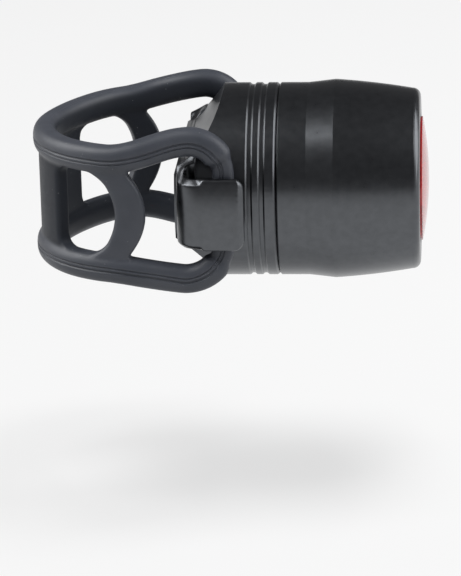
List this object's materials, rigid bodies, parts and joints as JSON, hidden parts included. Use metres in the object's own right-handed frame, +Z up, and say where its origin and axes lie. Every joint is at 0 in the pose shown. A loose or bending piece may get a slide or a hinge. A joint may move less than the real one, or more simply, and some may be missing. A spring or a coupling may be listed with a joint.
{
  "type": "bicycle rear light",
  "caption": "Cylindrical black metal bicycle rear light with a red push lens, a screw-on head, side hooks and a silicone ladder strap that loops round a post.",
  "frame": {"origin": "middle of the rear face, on the light's axis", "axes": "+X along the beam towards the lens, +Y across the hooks, to the rider's right when the beam points to the rear, +Z up along the post"},
  "size_m": [0.055, 0.0359, 0.0278],
  "materials": {
    "anodised": "satin black anodised",
    "silicone": "matte",
    "red_lens": "translucent red",
    "seal_rubber": "matte",
    "sleeve_plastic": "matte",
    "white_plastic": "gloss white",
    "black_plastic": "matte",
    "red_plastic": "matte",
    "board": "solder mask",
    "contact_brass": "plated",
    "cell_steel": "bright",
    "ring_metal": "satin",
    "gasket_plastic": "matte",
    "capacitor": "matte ceramic"
  },
  "bodies": {
    "base": {"base_cap": "anodised", "battery_sleeve": "sleeve_plastic", "rear_contact": "contact_brass", "rear_cell_can": "cell_steel", "rear_cell_cap": "cell_steel", "rear_cell_gasket": "gasket_plastic", "front_cell_can": "cell_steel", "front_cell_cap": "cell_steel", "front_cell_gasket": "gasket_plastic"},
    "seal": {"body_o_ring": "seal_rubber"},
    "head": {"head_shell": "anodised", "board_ring": "ring_metal", "circuit_board": "board", "contact_spring": "contact_brass", "switch_case": "black_plastic", "led_packages": "white_plastic", "driver_chip": "black_plastic", "chip_capacitors": "capacitor", "reflector": "white_plastic", "lens_seal": "seal_rubber"},
    "lens": {"push_lens": "red_lens", "switch_plunger": "red_plastic"},
    "strap": {"strap": "silicone"}
  },
  "joints": [
    {"name": "head_travel", "type": "slide", "parent": "base", "child": "seal", "axis": [1, 0, 0], "range_m": [0, 0.004]},
    {"name": "head_unscrew", "type": "hinge", "parent": "seal", "child": "head", "pos_m": [0, 0, 0], "axis": [1, 0, 0], "range_deg": [0, 1440]},
    {"name": "lens_press", "type": "slide", "parent": "head", "child": "lens", "axis": [-1, 0, 0], "range_m": [0, 0.0005], "stiffness_N_per_m": 3000},
    {"name": "strap_slip", "type": "slide", "parent": "base", "child": "strap", "axis": [1, 0, 0], "range_m": [-0.003, 0.0038]}
  ],
  "couplings": [
    {"joint": "head_travel", "follows": "head_unscrew", "m_per_rad": 0.00015915}
  ]
}
